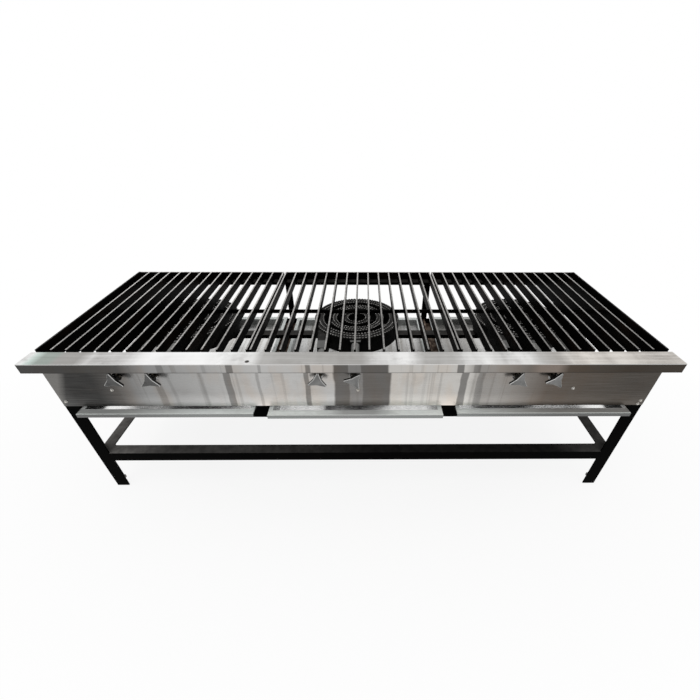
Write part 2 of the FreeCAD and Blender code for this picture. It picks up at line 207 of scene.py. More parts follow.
# Weld beads in the inner corners of the stand, whose angle iron is this thick.
ANGLE_T = 0.004
BEAD_R = 0.0024
BEAD_NECK_R = 0.0018
BEAD_STEP = 0.0035
BEAD_SIDES = 8

# Thread of the levelling feet.
FOOT_PITCH = 0.00175

# Pipe thread at the gas inlet. Its lead-in, its run-out and half the width of its root are in pitches.
THREAD_R = 0.013
THREAD_LEN = 0.025
THREAD_PITCH = 0.0018
THREAD_H = 0.0004
THREAD_STEPS = 36
THREAD_LEAD_IN = 0.7
THREAD_RUN_OUT = 2.0
THREAD_HALF_ROOT = 0.45

# How far the edges of each kind of solid are rounded.
EDGE_ROUNDS = (("leg", 0.0011), ("stretcher", 0.0011), ("top_rail", 0.0011), ("tray_rail", 0.0008),
               ("front_hangers", 0.0006), ("rear_hangers", 0.0006), ("burner_rail", 0.0007),
               ("burners", 0.0022), ("grate", 0.0006), ("front_ledge", 0.0006), ("front_panel", 0.0004),
               ("drip_tray", 0.0004), ("valve_handle", 0.0003))
EDGE_SEGMENTS = 2
EDGE_ANGLE = math.radians(32.0)


def rgb(red, green, blue):
    """An opaque colour."""
    return (red, green, blue, 1.0)


class Shader:
    """A node material while it is being made. Its vector is the piece's own place in metres."""

    def __init__(self, name):
        self.material = bpy.data.materials.new(name)
        self.material.use_nodes = True
        self.tree = self.material.node_tree
        self.surface = self.tree.nodes["Principled BSDF"]
        self.place = self.add("ShaderNodeTexCoord").outputs["Object"]

    def add(self, kind, **settings):
        """A new node with the given settings."""
        node = self.tree.nodes.new(kind)
        for key, value in settings.items():
            setattr(node, key, value)
        return node

    def join(self, source, target):
        """Links one socket to another."""
        self.tree.links.new(source, target)

    def put(self, socket, value):
        """Sets a socket to a value, or links it where the value is another socket."""
        if isinstance(value, bpy.types.NodeSocket):
            self.join(value, socket)
        else:
            socket.default_value = value

    def set(self, **values):
        """Sets inputs of the surface by name, with underscores for spaces."""
        for key, value in values.items():
            self.put(self.surface.inputs[key.replace("_", " ")], value)

    def scaled(self, x, y, z):
        """The place on the piece, scaled along each axis."""
        node = self.add("ShaderNodeMapping")
        node.inputs["Scale"].default_value = (x, y, z)
        self.join(self.place, node.inputs["Vector"])
        return node.outputs["Vector"]

    def noise(self, vector, scale=1.0, detail=3.0, roughness=0.5):
        """Cloudy noise, mostly within NOISE_SPAN."""
        node = self.add("ShaderNodeTexNoise")
        self.join(vector, node.inputs["Vector"])
        node.inputs["Scale"].default_value = scale
        node.inputs["Detail"].default_value = detail
        node.inputs["Roughness"].default_value = roughness
        return node.outputs["Fac"]

    def cells(self, vector, scale):
        """A colour of its own for each cell of a crystal pattern."""
        node = self.add("ShaderNodeTexVoronoi")
        self.join(vector, node.inputs["Vector"])
        node.inputs["Scale"].default_value = scale
        return node.outputs["Color"]

    def span(self, value, low, high, to_low=0.0, to_high=1.0):
        """The value taken from low..high to to_low..to_high, and held at the ends."""
        node = self.add("ShaderNodeMapRange")
        self.put(node.inputs["Value"], value)
        node.inputs["From Min"].default_value = low
        node.inputs["From Max"].default_value = high
        node.inputs["To Min"].default_value = to_low
        node.inputs["To Max"].default_value = to_high
        return node.outputs["Result"]

    def calculate(self, operation, first, second=0.0):
        """One operation on one or two values."""
        node = self.add("ShaderNodeMath", operation=operation)
        self.put(node.inputs[0], first)
        self.put(node.inputs[1], second)
        return node.outputs["Value"]

    def product(self, first, *others):
        """All the given values, multiplied."""
        for other in others:
            first = self.calculate("MULTIPLY", first, other)
        return first

    def blend(self, share, first, second, kind="MIX"):
        """The first colour, turned into the second by the share."""
        node = self.add("ShaderNodeMix", data_type="RGBA", blend_type=kind)
        self.put(node.inputs["Factor"], share)
        self.put(node.inputs["A"], first)
        self.put(node.inputs["B"], second)
        return [out for out in node.outputs if out.type == "RGBA"][0]

    def times(self, colour, factor):
        """A colour made brighter or darker."""
        node = self.add("ShaderNodeVectorMath", operation="SCALE")
        self.join(colour, node.inputs["Vector"])
        self.put(node.inputs["Scale"], factor)
        return node.outputs["Vector"]

    def part(self, vector, axis):
        """One of the three parts of a vector."""
        node = self.add("ShaderNodeSeparateXYZ")
        self.join(vector, node.inputs["Vector"])
        return node.outputs[axis]

    def along(self, axis):
        """The place on the piece along an axis of the part."""
        return self.part(self.place, axis)

    def facing(self, axis):
        """How far the surface faces along an axis of the part, from -1 to 1."""
        return self.part(self.add("ShaderNodeTexCoord").outputs["Normal"], axis)

    def near(self, place, reach, core):
        """1 round a place on the piece, out to a core share of the reach, and 0 past the reach."""
        node = self.add("ShaderNodeVectorMath", operation="DISTANCE")
        self.join(self.place, node.inputs[0])
        node.inputs[1].default_value = place
        return self.span(node.outputs["Value"], reach, core * reach)

    def away(self, value, middle):
        """How far the value is from the middle."""
        return self.calculate("ABSOLUTE", self.calculate("SUBTRACT", value, middle))

    def band(self, value, middle, half, soft):
        """1 where the value is within half of the middle, falling to 0 over the soft width outside."""
        return self.span(self.away(value, middle), half + soft, half)

    def relief(self, height, distance, strength):
        """Fine relief on the surface, as deep as the distance."""
        node = self.add("ShaderNodeBump")
        node.inputs["Strength"].default_value = strength
        node.inputs["Distance"].default_value = distance
        self.join(height, node.inputs["Height"])
        self.join(node.outputs["Normal"], self.surface.inputs["Normal"])


def black_paint(name, dust_and_sheen_tone, painted_shades):
    """Brushed-on black enamel over rolled angle, dusty and with a painted sheen where it faces up, with
    painted light and shade along x.
    """
    shader = Shader(name)
    mottle = shader.noise(shader.place, scale=38.0, detail=5.0)
    up = shader.span(shader.facing("Z"), 0.55, 0.95)
    # Dust and a painted sheen on the faces that look up.
    dust_and_sheen = shader.product(up, shader.span(mottle, 0.35, 0.7, 0.6, 1.0))
    # Painted light and shade along x, as a change of the dust and sheen.
    for reach, shares in painted_shades:
        dust_and_sheen = shader.product(dust_and_sheen, shader.span(shader.along("X"), *reach, *shares))
    paint = shader.blend(shader.span(mottle, 0.4, 0.75),
                         rgb(0.0004, 0.0004, 0.0004), rgb(0.0018, 0.0016, 0.0014))
    shader.set(Base_Color=shader.blend(dust_and_sheen, paint, dust_and_sheen_tone),
               Roughness=shader.span(mottle, *NOISE_SPAN, 0.38, 0.56),
               Specular_IOR_Level=0.008)
    shader.relief(shader.noise(shader.place, scale=240.0), distance=0.0004, strength=0.5)
    return shader.material


def rail_paint():
    """The same paint worn to rust where the trays slide over it."""
    shader = Shader("rail_paint")
    mottle = shader.noise(shader.place, scale=46.0, detail=5.0, roughness=0.6)
    up = shader.span(shader.facing("Z"), 0.5, 0.9)
    rust = shader.product(up, shader.span(mottle, 0.32, 0.6, 0.25, 1.0))
    brown = shader.blend(shader.span(mottle, 0.45, 0.7), rgb(0.13, 0.085, 0.062), rgb(0.34, 0.27, 0.22))
    shader.set(Base_Color=shader.blend(rust, rgb(0.0025, 0.0023, 0.0022), brown),
               Roughness=shader.span(mottle, *NOISE_SPAN, 0.5, 0.75),
               Specular_IOR_Level=0.08)
    shader.relief(mottle, distance=0.0006, strength=0.6)
    return shader.material


def sheet_painted_reflection(shader, stretch):
    """Tone of upright brushed sheet, painted with the reflections of a room with two broad bright stretches
    and posts.
    """
    wander = shader.noise(shader.scaled(1.0, 0.1, 1.6), scale=9.0, detail=2.0)
    x = shader.product(shader.along("X"), stretch)
    x = shader.calculate("ADD", x, shader.span(wander, *NOISE_SPAN, -SHEET_WANDER, SHEET_WANDER))
    ends = shader.span(shader.calculate("ABSOLUTE", x), *SHEET_ENDS)
    brown = shader.blend(ends, rgb(0.1, 0.082, 0.067), rgb(0.047, 0.04, 0.033))
    grey = shader.blend(ends, rgb(0.118, 0.112, 0.106), rgb(0.056, 0.0555, 0.054))
    dark = shader.blend(shader.span(x, *SHEET_BROWN), grey, brown)
    pale = shader.product(shader.band(x, *SHEET_PALE_POST, SHEET_POST_SOFT), SHEET_PALE_SHARE)
    tone = shader.blend(pale, dark, rgb(0.24, 0.235, 0.23))
    # Painted reflections of the room's two bright stretches.
    left = shader.blend(shader.span(x, *SHEET_LEFT_SLOPE), rgb(0.25, 0.25, 0.248), rgb(0.48, 0.475, 0.465))
    lit = shader.product(shader.span(x, *SHEET_LEFT_RISE), shader.span(x, *SHEET_LEFT_FALL, 1.0, 0.0))
    tone = shader.blend(lit, tone, left)
    right = shader.blend(shader.span(x, *SHEET_RIGHT_SLOPE),
                         rgb(0.53, 0.515, 0.49), rgb(0.29, 0.277, 0.262))
    lit = shader.product(shader.span(x, *SHEET_RIGHT_RISE), shader.span(x, *SHEET_RIGHT_FALL, 1.0, 0.0))
    tone = shader.blend(lit, tone, right)
    for middle, half, share in SHEET_POSTS:
        post = shader.product(shader.band(x, middle, half, SHEET_POST_SOFT), share)
        tone = shader.blend(post, tone, rgb(0.11, 0.107, 0.103))
    warm = shader.noise(shader.scaled(1.0, 0.1, 0.35), scale=15.0, roughness=0.55)
    tone = shader.blend(shader.span(warm, 0.48, 0.64), tone, SHEET_WARM, "MULTIPLY")
    lines = shader.noise(shader.scaled(1.0, 0.1, 0.02), scale=90.0, detail=1.0, roughness=0.4)
    return shader.blend(shader.span(lines, 0.6, 0.7, 0.0, 0.25), tone, dark)


def panel_sheet():
    """Brushed stainless front panel with fine level grain and hand marks, and painted reflections of the
    room.
    """
    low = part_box("front_panel")[0]
    shader = Shader("panel_sheet")
    grain = shader.noise(shader.scaled(9.0, 700.0, 700.0), detail=2.0)
    smear = shader.noise(shader.scaled(1.0, 1.0, 1.7), scale=11.0, detail=5.0, roughness=0.65)
    x = shader.along("X")
    height = shader.calculate("SUBTRACT", shader.along("Z"), low.z)
    # Painted dark reflection at the left end, and a pale painted reflection past it.
    dark = shader.product(shader.band(x, *PANEL_DARK), PANEL_DARK_SHARE)
    base = shader.blend(dark, sheet_painted_reflection(shader, stretch=1.0), rgb(0.012, 0.0116, 0.0112))
    end = shader.calculate("SUBTRACT", x, shader.product(height, PANEL_PALE_LEAN))
    base = shader.blend(shader.span(end, *PANEL_PALE), base, rgb(0.155, 0.15, 0.142))
    base = shader.blend(shader.span(grain, *NOISE_SPAN, 0.0, 0.06), base, rgb(0.75, 0.74, 0.72))
    base = shader.blend(shader.span(smear, 0.5, 0.8, 0.0, 0.2), base, rgb(0.12, 0.1, 0.088))
    # Painted brighter reflection towards the bottom edge.
    base = shader.times(base, shader.span(height, PANEL_LIFT_H, 0.0, 1.0, PANEL_LIFT))
    shader.set(Base_Color=base, Metallic=1.0, Roughness=shader.span(grain, 0.25, 0.75, 0.24, 0.36))
    shader.relief(grain, distance=0.00006, strength=0.5)
    return shader.material


def ledge_sheet():
    """Stainless ledge: bright scuffed top with painted bright and dark reflections, and a lip painted with
    the room's reflections as the panel is, with a painted highlight on its upper bend and a painted dark
    line on its lower bend.
    """
    low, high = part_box("front_ledge")
    hole = Vector((LEDGE_HOLE_X, high.y - LEDGE_HOLE_FROM_REAR, high.z))
    shader = Shader("ledge_sheet")
    streak = shader.noise(shader.scaled(3.2, 110.0, 110.0), detail=4.0, roughness=0.65)
    bands = shader.noise(shader.scaled(1.0, 0.2, 0.2), scale=6.5, detail=4.0, roughness=0.6)
    blotch = shader.noise(shader.place, scale=24.0, detail=5.0, roughness=0.65)
    x = shader.along("X")
    z = shader.along("Z")

    top = shader.blend(shader.span(bands, 0.34, 0.6), rgb(0.4, 0.39, 0.38), rgb(0.8, 0.8, 0.79))
    top = shader.blend(shader.span(streak, 0.45, 0.7, 0.0, 0.5), top, rgb(0.9, 0.9, 0.9))
    top = shader.blend(shader.span(blotch, 0.52, 0.75, 0.0, 0.5), top, rgb(0.26, 0.25, 0.24))
    # Painted bright and dark reflections along the ledge top, the dark ones varied along the brushed
    # streaks.
    bright_reflection = shader.product(shader.band(x, *LEDGE_BRIGHT_REFLECTION, LEDGE_BRIGHT_REFLECTION_SOFT), LEDGE_BRIGHT_REFLECTION_SHARE)
    top = shader.blend(bright_reflection, top, rgb(0.95, 0.95, 0.95))
    streaked = shader.span(streak, 0.2, 0.8, 1.15, 0.85)
    for middle, half, share in LEDGE_DARK_REFLECTIONS:
        dull = shader.product(shader.band(x, middle, half, LEDGE_DARK_REFLECTION_SOFT), share, streaked)
        top = shader.blend(dull, top, rgb(0.3, 0.291, 0.276))
    top = shader.blend(shader.span(x, *LEDGE_WARM_REACH), top, LEDGE_WARM, "MULTIPLY")
    # Painted reflection of tinted light by the left end.
    top = shader.blend(shader.band(x, *LEDGE_COOL_REACH), top, LEDGE_COOL, "MULTIPLY")
    # Painted shade: a dark spot for the inside of the bolt hole.
    top = shader.blend(shader.near(hole, LEDGE_HOLE_R, LEDGE_HOLE_CORE), top, rgb(0.06, 0.055, 0.05))

    # Painted reflections on the lip, with one more painted bright stretch.
    lip = shader.blend(shader.band(x, *LIP_GLINT), sheet_painted_reflection(shader, LIP_STRETCH), rgb(0.216, 0.18, 0.155))
    # Painted highlight on the upper bend of the lip.
    bend_highlight = shader.span(z, high.z - LIP_BEND_HIGHLIGHT, high.z, 0.0, LIP_PAINT_SHARE)
    lip = shader.blend(bend_highlight, lip, rgb(0.85, 0.85, 0.84))
    # Painted dark line of shade on the lower bend of the lip.
    edge = shader.span(z, low.z + LIP_EDGE_SHADE, low.z, 0.0, LIP_PAINT_SHARE)
    lip = shader.blend(edge, lip, rgb(0.02, 0.019, 0.018))

    base = shader.blend(shader.span(shader.facing("Z"), 0.45, 0.85), lip, top)
    shader.set(Base_Color=base, Metallic=1.0, Roughness=shader.span(streak, 0.25, 0.75, 0.26, 0.4))
    shader.relief(streak, distance=0.0001, strength=0.5)
    return shader.material


def galvanised(tray, dull_x, dull_near, dull_far, dull, shine, dull_lip_shade):
    """Galvanised sheet of one tray: grey-green rim with a painted highlight on its front bend, front lip
    painted darker as shade, streaked floor with a painted dark reflection and a polished front with a
    painted bright reflection.
    """
    low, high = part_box(tray)
    shader = Shader("galvanised_" + tray)
    spangle = shader.part(shader.cells(shader.place, scale=70.0), "X")
    stain = shader.noise(shader.scaled(1.0, 0.35, 1.0), scale=7.0, detail=5.0, roughness=0.62)
    drip = shader.noise(shader.scaled(1.0, 0.03, 1.0), scale=55.0, roughness=0.6)
    sheen = shader.noise(shader.scaled(1.0, 0.2, 0.2), scale=5.0, detail=2.0)
    grain = shader.noise(shader.scaled(2.0, 320.0, 320.0), detail=2.0)
    x = shader.along("X")
    y = shader.along("Y")

    wander = shader.span(sheen, *NOISE_SPAN, -TRAY_WANDER, TRAY_WANDER)
    clean = shader.span(shader.calculate("ADD", shader.away(x, dull_x), wander), dull_near, dull_far)
    rim = shader.blend(clean, dull, TRAY_CLEAN)
    rim = shader.blend(shader.span(grain, 0.45, 0.65, 0.0, 0.25), rim, dull)
    rim = shader.blend(shader.span(spangle, 0.0, 1.0, 0.0, 0.12), rim, rgb(0.3, 0.32, 0.3))
    # Painted highlight on the front bend of the rim.
    bend_highlight = shader.span(y, low.y + TRAY_BEND_HIGHLIGHT, low.y + TRAY_BEND_HIGHLIGHT / 2.0)
    rim = shader.blend(bend_highlight, rim, rgb(0.95, 1.0, 0.97))

    floor = shader.blend(shader.span(drip, 0.46, 0.66), rgb(0.84, 0.84, 0.83), rgb(0.5, 0.48, 0.45))
    floor = shader.blend(shader.span(stain, 0.54, 0.75, 0.0, 0.5), floor, rgb(0.36, 0.325, 0.28))
    # Painted dark reflection on the right tray's floor.
    worn = shader.product(shader.band(x, *TRAY_DARK_REFLECTION), TRAY_DARK_REFLECTION_SHARE)
    floor = shader.blend(worn, floor, rgb(0.3, 0.29, 0.275))
    # Polish with a painted bright reflection across the front of the floor.
    polish_and_reflection = shader.span(y, low.y + TRAY_POLISH_AND_REFLECTION_END, low.y + TRAY_POLISH_AND_REFLECTION_START)
    floor = shader.blend(polish_and_reflection, floor, rgb(0.93, 0.93, 0.92))

    inside = shader.span(shader.along("Z"), high.z - TRAY_FLOOR_DROP, high.z, 1.0, 0.0)
    base = shader.blend(inside, rim, floor)
    # The front lip is painted darker than the rim, as shade.
    lip = shader.blend(clean, rgb(dull_lip_shade, dull_lip_shade, dull_lip_shade), rgb(0.19, 0.2, 0.195))
    base = shader.blend(shader.span(shader.facing("Z"), 0.7, 0.3, 0.0, 0.9), base, lip)
    metal = shader.product(inside, shader.span(polish_and_reflection, 0.0, 1.0, shine, 0.95))
    gloss = shader.product(shader.span(spangle, 0.0, 1.0, 0.26, 0.32),
                           shader.span(polish_and_reflection, 0.0, 1.0, 1.0, 0.75))
    shader.set(Base_Color=base, Metallic=metal, Roughness=gloss)
    shader.relief(stain, distance=0.0006, strength=0.3)
    return shader.material


def grate_bar(end_x, top_z):
    """Black flat bar with brown heat rust, its top rubbed bright by pots but for the bars at both ends,
    with a painted sheen that grows towards the left and the rear.
    """
    shader = Shader("grate_bar")
    patch = shader.noise(shader.scaled(12.0, 5.0, 12.0), detail=5.0, roughness=0.6)
    fleck = shader.noise(shader.place, scale=160.0, detail=4.0, roughness=0.6)
    up = shader.span(shader.facing("Z"), 0.3, 0.85)
    high = shader.span(shader.along("Z"), top_z - BAR_RUB_START, top_z - BAR_RUB_FULL)
    out = shader.calculate("ABSOLUTE", shader.along("X"))
    within = shader.span(out, end_x - END_BAR, end_x - END_BAR / 2.0, 1.0, END_BAR_SHARE)
    worn = shader.product(up, high, shader.span(patch, 0.28, 0.5, 0.55, 1.0), within)
    side = shader.blend(shader.span(patch, 0.52, 0.75),
                        rgb(0.0012, 0.0011, 0.001), rgb(0.012, 0.0075, 0.005))
    top = shader.blend(shader.span(fleck, 0.35, 0.65), rgb(0.17, 0.165, 0.16), rgb(0.42, 0.41, 0.395))
    # Painted sheen, brighter towards the left and the rear.
    top = shader.times(top, shader.span(shader.along("X"), *BAR_SHEEN_X))
    top = shader.times(top, shader.span(shader.along("Y"), *BAR_SHEEN_Y))
    shader.set(Base_Color=shader.blend(worn, side, top),
               Metallic=shader.span(worn, 0.2, 0.9, 0.0, 0.75),
               Roughness=shader.span(fleck, *NOISE_SPAN, 0.42, 0.62),
               Specular_IOR_Level=0.02)
    shader.relief(fleck, distance=0.0004, strength=0.6)
    return shader.material


def cast_iron(ring_y, tube_top):
    """Sand cast iron, dark and grainy, with painted highlights on the tops of the feed necks and, brighter,
    of the mixing tubes in front of ring_y.
    """
    shader = Shader("cast_iron")
    grain = shader.noise(shader.place, scale=420.0, detail=4.0, roughness=0.6)
    scale = shader.noise(shader.place, scale=34.0, detail=5.0, roughness=0.6)
    up = shader.span(shader.facing("Z"), 0.25, 0.95)
    ash = shader.product(up, shader.span(scale, 0.35, 0.7, 0.3, 1.0))
    iron = shader.blend(shader.span(scale, 0.4, 0.7), rgb(0.002, 0.002, 0.002), rgb(0.008, 0.0075, 0.007))
    base = shader.blend(ash, iron, rgb(0.07, 0.067, 0.064))
    # Painted highlights on the tops of the feed necks, brighter on the tops of the mixing tubes.
    neck_top_highlight = shader.product(up, shader.span(shader.along("Y"), ring_y, ring_y - NECK_SOFT))
    base = shader.blend(neck_top_highlight, base, rgb(0.24, 0.24, 0.235))
    tube_top_highlight = shader.product(neck_top_highlight, shader.span(shader.along("Z"), tube_top + TUBE_SOFT, tube_top))
    shader.set(Base_Color=shader.blend(tube_top_highlight, base, rgb(0.36, 0.36, 0.35)),
               Roughness=shader.span(grain, *NOISE_SPAN, 0.5, 0.75),
               Specular_IOR_Level=0.1)
    shader.relief(grain, distance=0.0009, strength=0.8)
    return shader.material


def burner_top(ring_z):
    """Ridges of the burner rings: rubbed grey on top with a painted highlight, black with soot and painted
    shade down in the slots below ring_z.
    """
    shader = Shader("burner_top")
    grain = shader.noise(shader.place, scale=380.0, detail=4.0, roughness=0.6)
    soot = shader.noise(shader.place, scale=42.0, detail=5.0, roughness=0.6)
    up = shader.span(shader.facing("Z"), 0.6, 0.95)
    high = shader.span(shader.along("Z"), ring_z, ring_z + SLOT_FLOOR)
    # Rubbed tops with a painted highlight; the slots stay black with soot and painted shade.
    clean = shader.product(up, shader.span(soot, 0.3, 0.62, 1.0, 0.3), high)
    shader.set(Base_Color=shader.blend(clean, rgb(0.004, 0.0038, 0.0036), rgb(0.86, 0.84, 0.81)),
               Roughness=shader.span(grain, *NOISE_SPAN, 0.45, 0.7),
               Specular_IOR_Level=0.08)
    shader.relief(grain, distance=0.0005, strength=0.7)
    return shader.material


def cast_alloy():
    """Die cast handle metal: satin grey face, a painted highlight on the bevel and painted shade on the
    sides.
    """
    shader = Shader("cast_alloy")
    grain = shader.noise(shader.place, scale=520.0)
    cloud = shader.noise(shader.place, scale=46.0, detail=4.0)
    ahead = shader.product(shader.facing("Y"), -1.0)
    face = shader.blend(shader.span(cloud, *NOISE_SPAN), rgb(0.13, 0.13, 0.128), rgb(0.24, 0.24, 0.236))
    # Handle faces are darker towards the left end.
    face = shader.times(face, shader.span(shader.along("X"), *HANDLE_DARKER_LEFT, HANDLE_DARKER_LEFT_SHARE, 1.0))
    # Painted highlight on the bevel, and painted shade on the sides.
    front = shader.blend(shader.span(ahead, 0.82, 0.95), rgb(0.52, 0.52, 0.51), face)
    shader.set(Base_Color=shader.blend(shader.span(ahead, 0.3, 0.6), rgb(0.05, 0.05, 0.049), front),
               Metallic=0.9,
               Roughness=shader.span(grain, *NOISE_SPAN, 0.32, 0.48))
    shader.relief(grain, distance=0.0003, strength=0.5)
    return shader.material


def turned_metal(name, wear, clean, worn, metal, gloss):
    """Metal from the lathe with fine rings, which turns from clean to worn in clouds."""
    shader = Shader(name)
    cloud = shader.noise(shader.place, scale=60.0, detail=4.0)
    lathe = shader.noise(shader.scaled(40.0, 900.0, 40.0), detail=2.0)
    shader.set(Base_Color=shader.blend(shader.span(cloud, *wear), clean, worn),
               Metallic=metal,
               Roughness=shader.span(lathe, *NOISE_SPAN, *gloss))
    shader.relief(lathe, distance=0.00008, strength=0.5)
    return shader.material


def brass_darkened_as_shade():
    """Valve bodies and stems, painted dark as the shade inside the panel's holes."""
    return turned_metal("brass_darkened_as_shade", wear=(0.4, 0.75), clean=rgb(0.03, 0.027, 0.022),
                        worn=rgb(0.1, 0.082, 0.055), metal=0.9, gloss=(0.3, 0.46))


def bright_fitting():
    """Turned fittings with a clean plated finish."""
    return turned_metal("bright_fitting", wear=(0.42, 0.7), clean=rgb(0.6, 0.59, 0.57),
                        worn=rgb(0.48, 0.45, 0.4), metal=1.0, gloss=(0.22, 0.36))


def zinc():
    """Zinc plated bolt steel with its thread as fine rings."""
    shader = Shader("zinc_bolt")
    cloud = shader.noise(shader.place, scale=70.0, detail=4.0)
    turns = shader.calculate("SINE", shader.product(shader.along("Z"), math.tau / FOOT_PITCH))
    plate = shader.blend(shader.span(cloud, 0.35, 0.7), rgb(0.1, 0.1, 0.1), rgb(0.2, 0.19, 0.17))
    shader.set(Base_Color=plate, Metallic=0.95, Roughness=shader.span(cloud, *NOISE_SPAN, 0.3, 0.45))
    shader.relief(turns, distance=0.0005, strength=0.7)
    return shader.material


def starting(name, choices, default):
    """The choice whose key the name starts with."""
    for start, choice in choices:
        if name.startswith(start):
            return choice
    return default


def paint_nodes(nodes, black):
    """Gives every solid its material, and rounds the edges of the kinds listed in EDGE_ROUNDS."""
    # Valve bodies and stems painted dark as shade.
    brass = brass_darkened_as_shade()
    bolt = zinc()
    grate_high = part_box("grate_right")[1]
    burner_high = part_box("burners")[1]
    ring_y = burner_high.y - 2.0 * RINGS[0][0]
    choices = [(tray["tray"], galvanised(**tray)) for tray in TRAYS]
    choices += [("grate", grate_bar(grate_high.x, grate_high.z)),
                ("front_ledge", ledge_sheet()),
                ("front_panel", panel_sheet()),
                ("burners", cast_iron(ring_y, burner_high.z - TUBE_TOP_DROP)),
                ("valve_handle", cast_alloy()),
                ("valve_stem", brass),
                ("gas_valves", brass),
                ("orifice_spuds", bright_fitting()),
                ("levelling_foot", bolt),
                ("foot_nuts", bolt),
                ("stretcher", black_paint("stretcher_paint", rgb(0.22, 0.211, 0.202), STRETCHER_PAINTED_SHADES)),
                ("top_rail", black_paint("top_rail_paint", rgb(0.03, 0.0285, 0.027), ())),
                ("tray_rail", rail_paint())]
    for name, obj in nodes.items():
        obj.data.materials.clear()
        obj.data.materials.append(starting(name, choices, black))
        width = starting(name, EDGE_ROUNDS, 0.0)
        if width:
            rounded = obj.modifiers.new("edges", "BEVEL")
            rounded.width = width
            rounded.segments = EDGE_SEGMENTS
            rounded.limit_method = "ANGLE"
            rounded.angle_limit = EDGE_ANGLE


def piece(name, form, material):
    """Turns a bmesh into a piece that is fixed to the stand, smooth but for its sharp edges."""
    bmesh.ops.recalc_face_normals(form, faces=form.faces)
    for edge in form.edges:
        edge.smooth = len(edge.link_faces) == 2 and edge.calc_face_angle() < EDGE_ANGLE
    for face in form.faces:
        face.smooth = True
    mesh = bpy.data.meshes.new(name)
    form.to_mesh(mesh)
    form.free()
    mesh.materials.append(material)
    obj = bpy.data.objects.new(name, mesh)
    bpy.context.collection.objects.link(obj)
    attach(obj, "frame")


def skin(form, loops, closed_across):
    """Quads between neighbouring loops of points; closed_across also joins the last loop to the first."""
    rows = [[form.verts.new(point) for point in loop] for loop in loops]
    pairs = list(zip(rows, rows[1:]))
    if closed_across:
        pairs.append((rows[-1], rows[0]))
    for near, far in pairs:
        for step in range(len(near)):
            after = (step + 1) % len(near)
            form.faces.new((near[step], near[after], far[after], far[step]))
    return rows


def rod(form, loops):
    """A closed form along loops of points, with a face at both ends."""
    rows = skin(form, loops, False)
    form.faces.new(rows[0])
    form.faces.new(rows[-1])


def circle(centre, radius, rise, sides, axes):
    """Points round a centre in the plane of the first two axes, moved by rise along the third."""
    across, along, out = axes
    points = []
    for step in range(sides):
        turn = math.tau * step / sides
        aside = across * (radius * math.cos(turn))
        ahead = along * (radius * math.sin(turn))
        points.append(centre + aside + ahead + out * rise)
    return points


def add_ridge(form, centre, outer):
    """A ridge crossed by gas slots, from its outer edge inwards."""
    inner = outer - RIDGE_W
    slots = round(math.tau * outer / SLOT_PITCH)
    course = ((0.0, SLOT_FLOOR), (SLOT_SHARE, SLOT_FLOOR),
              (SLOT_SHARE + SLOT_SLOPE, RIDGE_H), (1.0 - SLOT_SLOPE, RIDGE_H))
    sections = []
    for slot in range(slots):
        for share, rise in course:
            turn = math.tau * (slot + share) / slots
            out = Vector((math.cos(turn), math.sin(turn), 0.0))
            profile = ((outer, -SINK), (outer, rise / 2.0), (outer - RIDGE_W / 4.0, rise),
                       (inner + RIDGE_W / 4.0, rise), (inner, rise / 2.0), (inner, -SINK))
            sections.append([centre + out * r + Vector((0.0, 0.0, z)) for r, z in profile])
    skin(form, sections, True)


def make_burner_crowns():
    """The slotted ridges on top of the burner rings."""
    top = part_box("burners")[1].z
    rail_low, rail_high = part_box("burner_rail")
    y = (rail_low.y + rail_high.y) / 2.0
    material = burner_top(top + SLOT_FLOOR)
    for name in ("left", "center", "right"):
        tray_low, tray_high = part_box("drip_tray_" + name)
        x = (tray_low.x + tray_high.x) / 2.0
        form = bmesh.new()
        for outer, inner, drop, ridges in RINGS:
            step = (outer - inner - RIDGE_W) / (ridges - 1)
            for ridge in range(ridges):
                add_ridge(form, Vector((x, y, top - drop)), outer - ridge * step)
        piece("burner_crown_" + name, form, material)


def make_screws():
    """Hexagon screws with a washer face, along the front panel."""
    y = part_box("stretcher_front")[0].y - PANEL_SHEET
    axes = (Vector((1, 0, 0)), Vector((0, 0, 1)), Vector((0, -1, 0)))
    washer = ((WASHER_R, 0.0), (WASHER_R, WASHER_H / 2.0), (HEAD_R, WASHER_H))
    head = ((HEAD_R, WASHER_H), (HEAD_R, HEAD_H), (HEAD_R - HEAD_BEVEL, HEAD_H + HEAD_BEVEL),
            (HEAD_R - 2.0 * HEAD_BEVEL, HEAD_H + HEAD_BEVEL), (HEAD_R - 3.0 * HEAD_BEVEL, HEAD_H))
    form = bmesh.new()
    for x, z in SCREW_PLACES:
        place = Vector((x, y, z))
        rows = skin(form, [circle(place, r, rise, WASHER_SIDES, axes) for r, rise in washer], False)
        form.faces.new(rows[0])
        rows = skin(form, [circle(place, r, rise, HEAD_SIDES, axes) for r, rise in head], False)
        form.faces.new(rows[-1])
    piece("panel_screws", form, bright_fitting())


def add_bead(form, start, end):
    """A lumpy weld bead from one point to another."""
    length = (end - start).length
    along = (end - start).normalized()
    across = along.orthogonal().normalized()
    axes = (across, along.cross(across), along)
    steps = 2 * round(length / BEAD_STEP)
    loops = []
    for step in range(steps + 1):
        swell = BEAD_R if step % 2 else BEAD_NECK_R
        loops.append(circle(start, swell, length * step / steps, BEAD_SIDES, axes))
    rod(form, loops)


